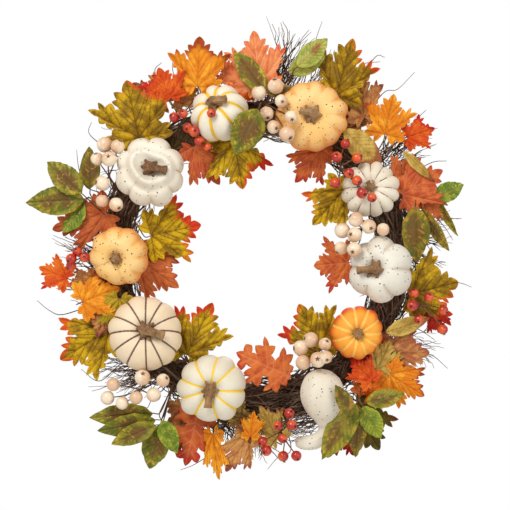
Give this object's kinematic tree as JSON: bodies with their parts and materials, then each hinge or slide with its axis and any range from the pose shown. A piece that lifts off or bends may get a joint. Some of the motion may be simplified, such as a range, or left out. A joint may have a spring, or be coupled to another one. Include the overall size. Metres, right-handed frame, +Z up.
{
  "type": "harvest door wreath",
  "caption": "Round autumn door wreath: a twig ring dressed with small pumpkins, berries and leaf picks, with a wire hanging loop at the back.",
  "frame": {"origin": "where a door hook carries the ring: the underside of the ring's top, in the middle of its depth", "axes": "+Z up, -Y out of the wreath's front, +X to the viewer's right"},
  "size_m": [0.581, 0.1348, 0.5987],
  "materials": {
    "twig": "dark brown natural twigs, matt",
    "wire": "bright galvanised wire",
    "pumpkin_white": "painted foam, speckled or striped",
    "pumpkin_cream": "painted foam with brown ribs",
    "pumpkin_yellow": "painted foam, orange grooves and dark specks",
    "pumpkin_orange": "painted foam with yellow ribs",
    "stem": "dry ridged pumpkin stalk",
    "berry_cream": "satin berry with a dark calyx",
    "berry_red": "glossy berry with a dark calyx",
    "leaf_olive": "printed polyester leaf",
    "leaf_coral": "printed polyester leaf",
    "leaf_yellow": "printed polyester leaf",
    "leaf_green": "printed polyester leaf",
    "leaf_mauve": "printed polyester leaf"
  },
  "bodies": {
    "wreath": {"wire_hoop": "wire", "twig_bundle_1": "twig", "twig_bundle_2": "twig", "twig_bundle_3": "twig", "twig_bundle_4": "twig", "hanger_saddle": "wire", "pumpkin_white_scalloped": "pumpkin_white", "pumpkin_white_striped": "pumpkin_white", "pumpkin_yellow_speckled": "pumpkin_yellow", "pumpkin_white_small": "pumpkin_white", "pumpkin_white_bulbous": "pumpkin_white", "pumpkin_orange_small": "pumpkin_orange", "pumpkin_yellow_striped": "pumpkin_white", "pumpkin_cream_striped": "pumpkin_cream", "pumpkin_orange_speckled": "pumpkin_yellow", "pumpkin_gourd": "pumpkin_white", "stem_white_scalloped": "stem", "stem_white_striped": "stem", "stem_yellow_speckled": "stem", "stem_white_small": "stem", "stem_white_bulbous": "stem", "stem_orange_small": "stem", "stem_yellow_striped": "stem", "stem_cream_striped": "stem", "stem_orange_speckled": "stem", "berries_cream_left": "berry_cream", "berries_cream_top": "berry_cream", "berries_cream_right": "berry_cream", "berries_cream_inner_right": "berry_cream", "berries_cream_lower_left": "berry_cream", "berries_red_top_left": "berry_red", "berries_red_upper_right": "berry_red", "berries_red_right": "berry_red", "berries_red_bottom": "berry_red", "berries_red_left": "berry_red", "leaves_olive_upper_left": "leaf_olive", "leaves_orange_top_left": "leaf_yellow", "leaves_coral_top": "leaf_coral", "leaves_green_inner_top": "leaf_green", "leaves_olive_inner_top": "leaf_olive", "leaves_coral_inner_top": "leaf_coral", "leaves_green_upper_right": "leaf_green", "leaves_mixed_top_right": "leaf_olive", "leaves_mixed_upper_right": "leaf_yellow", "leaves_green_right": "leaf_green", "leaves_mixed_inner_upper": "leaf_olive", "leaves_coral_inner_lower": "leaf_coral", "leaves_olive_right": "leaf_olive", "leaves_mixed_lower_right": "leaf_mauve", "leaves_green_lower_right": "leaf_green", "leaves_olive_inner_lower": "leaf_olive", "leaves_orange_left": "leaf_yellow", "leaves_olive_lower_left": "leaf_olive", "leaves_olive_inner_bottom": "leaf_olive", "leaves_coral_inner_bottom": "leaf_coral", "leaves_mixed_inner_left": "leaf_olive", "leaves_mixed_left": "leaf_coral", "leaves_green_lower_left": "leaf_green", "leaves_mixed_bottom": "leaf_coral"},
    "hanging_loop": {"hanging_loop": "wire"}
  },
  "joints": [
    {"name": "hanging_loop_pivot", "type": "hinge", "parent": "wreath", "child": "hanging_loop", "pos_m": [0, 0.0218, 0.03135], "axis": [1, 0, 0], "range_deg": [0, 175]}
  ]
}
